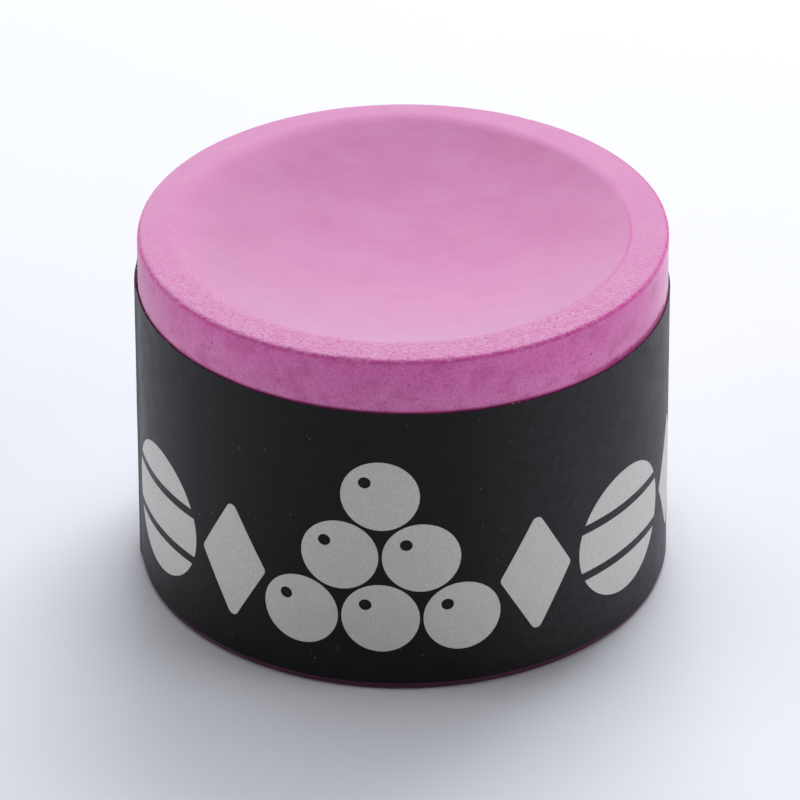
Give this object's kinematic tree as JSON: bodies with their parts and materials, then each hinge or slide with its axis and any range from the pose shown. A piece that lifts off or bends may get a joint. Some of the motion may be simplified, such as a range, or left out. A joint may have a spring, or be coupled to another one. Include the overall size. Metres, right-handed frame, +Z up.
{
  "type": "cue chalk",
  "caption": "Round puck of pink cue chalk with a shallow dish in its top and a black printed label wrapped round its side.",
  "frame": {"origin": "centre of the flat underside", "axes": "+Z up through the middle of the dish; +Y towards the back, so that the front of the label faces -Y"},
  "size_m": [0.0309, 0.0308, 0.0214],
  "materials": {
    "chalk": "matte",
    "adhesive": "satin",
    "paper": "matte",
    "black_ink": "satin",
    "grey_ink": "satin"
  },
  "bodies": {
    "root": {"chalk_body": "chalk", "label_adhesive": "adhesive", "label_paper": "paper", "label_black_ink": "black_ink", "label_grey_ink": "grey_ink"}
  },
  "joints": []
}
